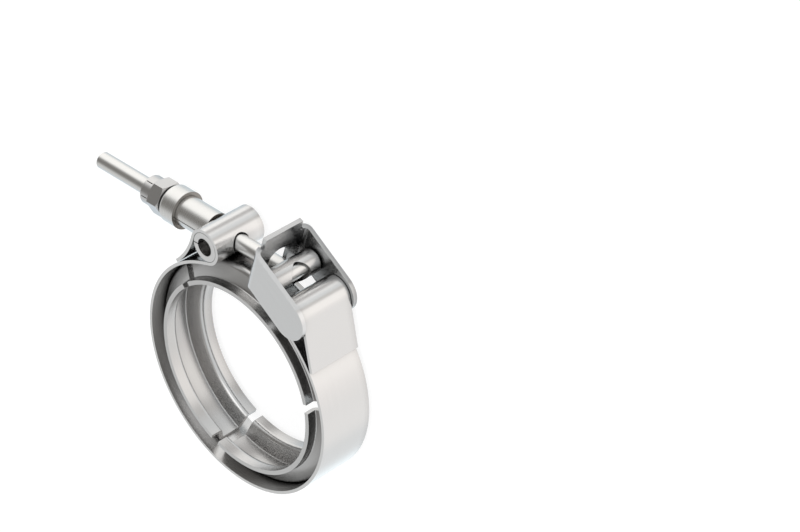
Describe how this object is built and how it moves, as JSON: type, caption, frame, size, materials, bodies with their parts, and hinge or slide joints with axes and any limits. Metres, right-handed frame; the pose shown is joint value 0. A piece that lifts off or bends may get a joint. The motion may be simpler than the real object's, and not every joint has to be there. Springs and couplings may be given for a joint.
{
  "type": "v band clamp",
  "caption": "Quick release V band clamp: a steel strap with V retainers inside, a T-bolt with lock nut and thrust sleeve, and a folding latch bracket that frees the bolt.",
  "frame": {"origin": "centre of the clamping ring, at half the strap's width", "axes": "+Z along the ring's axis, +X along the T-bolt towards the latch, +Y from the ring's centre towards the T-bolt"},
  "size_m": [0.1489, 0.1325, 0.03],
  "materials": {
    "strap_steel": "satin stainless strip",
    "retainer_steel": "roll formed satin stainless",
    "turned_steel": "fine turned stainless",
    "nut_steel": "machined stainless",
    "bracket_steel": "pressed satin stainless"
  },
  "bodies": {
    "ring": {"band_strap": "strap_steel", "v_retainer_1": "retainer_steel", "v_retainer_2": "retainer_steel", "v_retainer_3": "retainer_steel"},
    "latch": {"latch_bracket": "bracket_steel", "latch_pin": "turned_steel"},
    "anchor": {"trunnion": "turned_steel", "thrust_sleeve": "turned_steel"},
    "bolt": {"t_bolt": "turned_steel", "t_bolt_barrel": "turned_steel"},
    "nut": {"lock_nut": "nut_steel"}
  },
  "joints": [
    {"name": "latch_hinge", "type": "hinge", "parent": "ring", "child": "latch", "pos_m": [0.03586, 0.04972, 0], "axis": [0, 0, -1], "range_deg": [0, 100]},
    {"name": "bolt_swing", "type": "hinge", "parent": "ring", "child": "anchor", "pos_m": [-0.01504, 0.05901, 0], "axis": [0, 0, 1], "range_deg": [-4, 4]},
    {"name": "nut_spin", "type": "hinge", "parent": "anchor", "child": "nut", "pos_m": [-0.055, 0.05901, 0], "axis": [1, 0, 0], "range_deg": [-576, 432]},
    {"name": "bolt_slide", "type": "slide", "parent": "anchor", "child": "bolt", "axis": [1, 0, 0], "range_m": [-0.00151, 0.00201]}
  ],
  "couplings": [
    {"joint": "bolt_slide", "follows": "nut_spin", "m_per_rad": -0.00019894}
  ]
}
